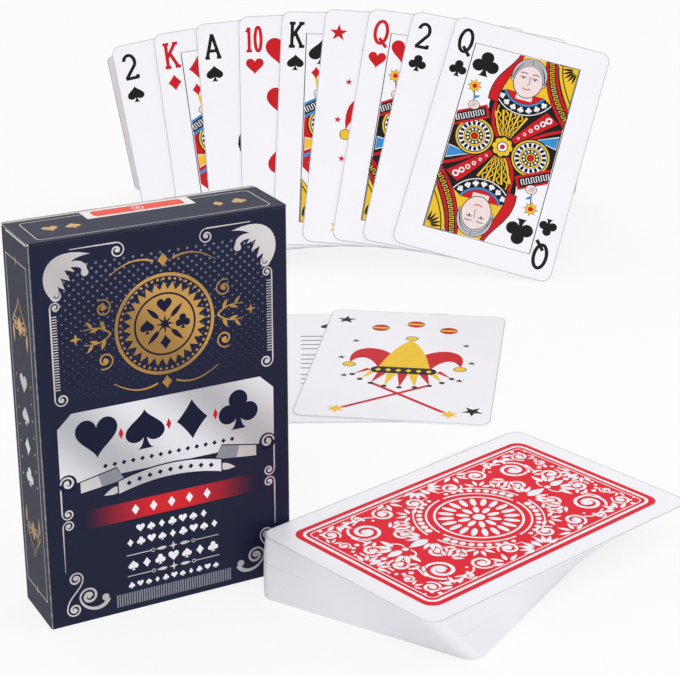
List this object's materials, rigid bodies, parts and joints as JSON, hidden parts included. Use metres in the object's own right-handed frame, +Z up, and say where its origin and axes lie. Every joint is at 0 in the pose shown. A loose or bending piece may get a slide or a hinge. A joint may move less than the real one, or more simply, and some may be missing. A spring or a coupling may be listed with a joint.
{
  "type": "playing card deck",
  "caption": "Playing card deck: folding tuck box with a tuck-in lid, a twisted pile of cards, a leaning fan of cards and loose cards beside it.",
  "frame": {"origin": "middle of the tuck box's base, on the ground", "axes": "+Z up, the printed front of the box faces -Y, +X to the right of the front"},
  "size_m": [0.2993, 0.3718, 0.0911],
  "materials": {
    "navy_board": "satin print",
    "slate_board": "satin print",
    "white_board": "uncoated",
    "seal": "satin print",
    "card_stock": "satin PVC",
    "card_back": "satin PVC, printed"
  },
  "bodies": {
    "tuck_box": {"front_panel": "navy_board", "back_panel": "navy_board", "left_side_panel": "slate_board", "right_side_panel": "slate_board", "glue_flap": "white_board", "bottom_outer_flap": "navy_board", "bottom_inner_flap": "white_board", "bottom_dust_flap_left": "white_board", "bottom_dust_flap_right": "white_board", "seal_back_half": "seal"},
    "lid": {"lid_panel": "slate_board", "seal_lid_half": "seal"},
    "tongue": {"tuck_tongue": "white_board"},
    "left_dust_flap": {"dust_flap_left": "white_board"},
    "right_dust_flap": {"dust_flap_right": "white_board"},
    "pile_lower": {"pile_lower_packet": "card_stock"},
    "pile_cut": {"pile_cut_packet": "card_stock"},
    "pile_top": {"pile_top_card": "card_back"},
    "fan_card_two_of_spades": {"fan_two_of_spades": "card_stock"},
    "fan_card_king_of_diamonds": {"fan_king_of_diamonds": "card_stock"},
    "fan_card_ace_of_spades": {"fan_ace_of_spades": "card_stock"},
    "fan_card_ten_of_hearts": {"fan_ten_of_hearts": "card_stock"},
    "fan_card_king_of_spades": {"fan_king_of_spades": "card_stock"},
    "fan_card_joker": {"fan_joker": "card_stock"},
    "fan_card_queen_of_hearts": {"fan_queen_of_hearts": "card_stock"},
    "fan_card_two_of_clubs": {"fan_two_of_clubs": "card_stock"},
    "fan_card_queen_of_clubs": {"fan_queen_of_clubs": "card_stock"},
    "left_prop": {"prop_card_left": "card_stock"},
    "right_prop": {"prop_card_right": "card_stock"},
    "loose_joker": {"joker_card": "card_stock"},
    "loose_info": {"info_card": "card_stock"}
  },
  "joints": [
    {"name": "lid_hinge", "type": "hinge", "parent": "tuck_box", "child": "lid", "pos_m": [0, -0.00847, 0.09077], "axis": [1, 0, 0], "range_deg": [0, 150]},
    {"name": "tongue_crease", "type": "hinge", "parent": "lid", "child": "tongue", "pos_m": [0, 0.00773, 0.09077], "axis": [1, 0, 0], "range_deg": [0, 75]},
    {"name": "left_flap_crease", "type": "hinge", "parent": "tuck_box", "child": "left_dust_flap", "pos_m": [-0.02977, 0, 0.09027], "axis": [0, -1, 0], "range_deg": [0, 90]},
    {"name": "right_flap_crease", "type": "hinge", "parent": "tuck_box", "child": "right_dust_flap", "pos_m": [0.02977, 0, 0.09027], "axis": [0, 1, 0], "range_deg": [0, 90]},
    {"name": "pile_lift", "type": "slide", "parent": "tuck_box", "child": "pile_lower", "axis": [0, 0, 1], "range_m": [0, 0.08]},
    {"name": "cut_lift", "type": "slide", "parent": "pile_lower", "child": "pile_cut", "axis": [0, 0, 1], "range_m": [0, 0.05]},
    {"name": "deal_slide", "type": "slide", "parent": "pile_cut", "child": "pile_top", "axis": [0.9703, 0.2419, 0], "range_m": [0, 0.095]},
    {"name": "fan_lift", "type": "slide", "parent": "tuck_box", "child": "fan_card_two_of_spades", "axis": [0, 0, 1], "range_m": [0, 0.08]},
    {"name": "fan_spread", "type": "hinge", "parent": "fan_card_two_of_spades", "child": "fan_card_queen_of_clubs", "pos_m": [0.09926, 0.09724, -0.12728], "axis": [-0.4121, -0.7137, 0.5664], "range_deg": [0, 28.64]},
    {"name": "fan_turn_two_of_clubs", "type": "hinge", "parent": "fan_card_two_of_spades", "child": "fan_card_two_of_clubs", "pos_m": [0.09926, 0.09724, -0.12728], "axis": [-0.4121, -0.7137, 0.5664], "range_deg": [0, 25.06]},
    {"name": "fan_turn_queen_of_hearts", "type": "hinge", "parent": "fan_card_two_of_spades", "child": "fan_card_queen_of_hearts", "pos_m": [0.09926, 0.09724, -0.12728], "axis": [-0.4121, -0.7137, 0.5664], "range_deg": [0, 21.48]},
    {"name": "fan_turn_joker", "type": "hinge", "parent": "fan_card_two_of_spades", "child": "fan_card_joker", "pos_m": [0.09926, 0.09724, -0.12728], "axis": [-0.4121, -0.7137, 0.5664], "range_deg": [0, 17.9]},
    {"name": "fan_turn_king_of_spades", "type": "hinge", "parent": "fan_card_two_of_spades", "child": "fan_card_king_of_spades", "pos_m": [0.09926, 0.09724, -0.12728], "axis": [-0.4121, -0.7137, 0.5664], "range_deg": [0, 14.32]},
    {"name": "fan_turn_ten_of_hearts", "type": "hinge", "parent": "fan_card_two_of_spades", "child": "fan_card_ten_of_hearts", "pos_m": [0.09926, 0.09724, -0.12728], "axis": [-0.4121, -0.7137, 0.5664], "range_deg": [0, 10.74]},
    {"name": "fan_turn_ace_of_spades", "type": "hinge", "parent": "fan_card_two_of_spades", "child": "fan_card_ace_of_spades", "pos_m": [0.09926, 0.09724, -0.12728], "axis": [-0.4121, -0.7137, 0.5664], "range_deg": [0, 7.16]},
    {"name": "fan_turn_king_of_diamonds", "type": "hinge", "parent": "fan_card_two_of_spades", "child": "fan_card_king_of_diamonds", "pos_m": [0.09926, 0.09724, -0.12728], "axis": [-0.4121, -0.7137, 0.5664], "range_deg": [0, 3.58]},
    {"name": "left_prop_slide", "type": "slide", "parent": "tuck_box", "child": "left_prop", "axis": [0.5, 0.866, 0], "range_m": [0, 0.05]},
    {"name": "right_prop_slide", "type": "slide", "parent": "tuck_box", "child": "right_prop", "axis": [0.5, 0.866, 0], "range_m": [0, 0.05]},
    {"name": "info_lift", "type": "slide", "parent": "tuck_box", "child": "loose_info", "axis": [0, 0, 1], "range_m": [0, 0.06]},
    {"name": "joker_lift", "type": "slide", "parent": "loose_info", "child": "loose_joker", "axis": [0, 0, 1], "range_m": [0, 0.06]}
  ],
  "couplings": [
    {"joint": "tongue_crease", "follows": "lid_hinge", "ratio": 0.5},
    {"joint": "left_flap_crease", "follows": "lid_hinge", "ratio": 0.6},
    {"joint": "right_flap_crease", "follows": "lid_hinge", "ratio": 0.6},
    {"joint": "fan_turn_two_of_clubs", "follows": "fan_spread", "ratio": 0.875},
    {"joint": "fan_turn_queen_of_hearts", "follows": "fan_spread", "ratio": 0.75},
    {"joint": "fan_turn_joker", "follows": "fan_spread", "ratio": 0.625},
    {"joint": "fan_turn_king_of_spades", "follows": "fan_spread", "ratio": 0.5},
    {"joint": "fan_turn_ten_of_hearts", "follows": "fan_spread", "ratio": 0.375},
    {"joint": "fan_turn_ace_of_spades", "follows": "fan_spread", "ratio": 0.25},
    {"joint": "fan_turn_king_of_diamonds", "follows": "fan_spread", "ratio": 0.125}
  ]
}
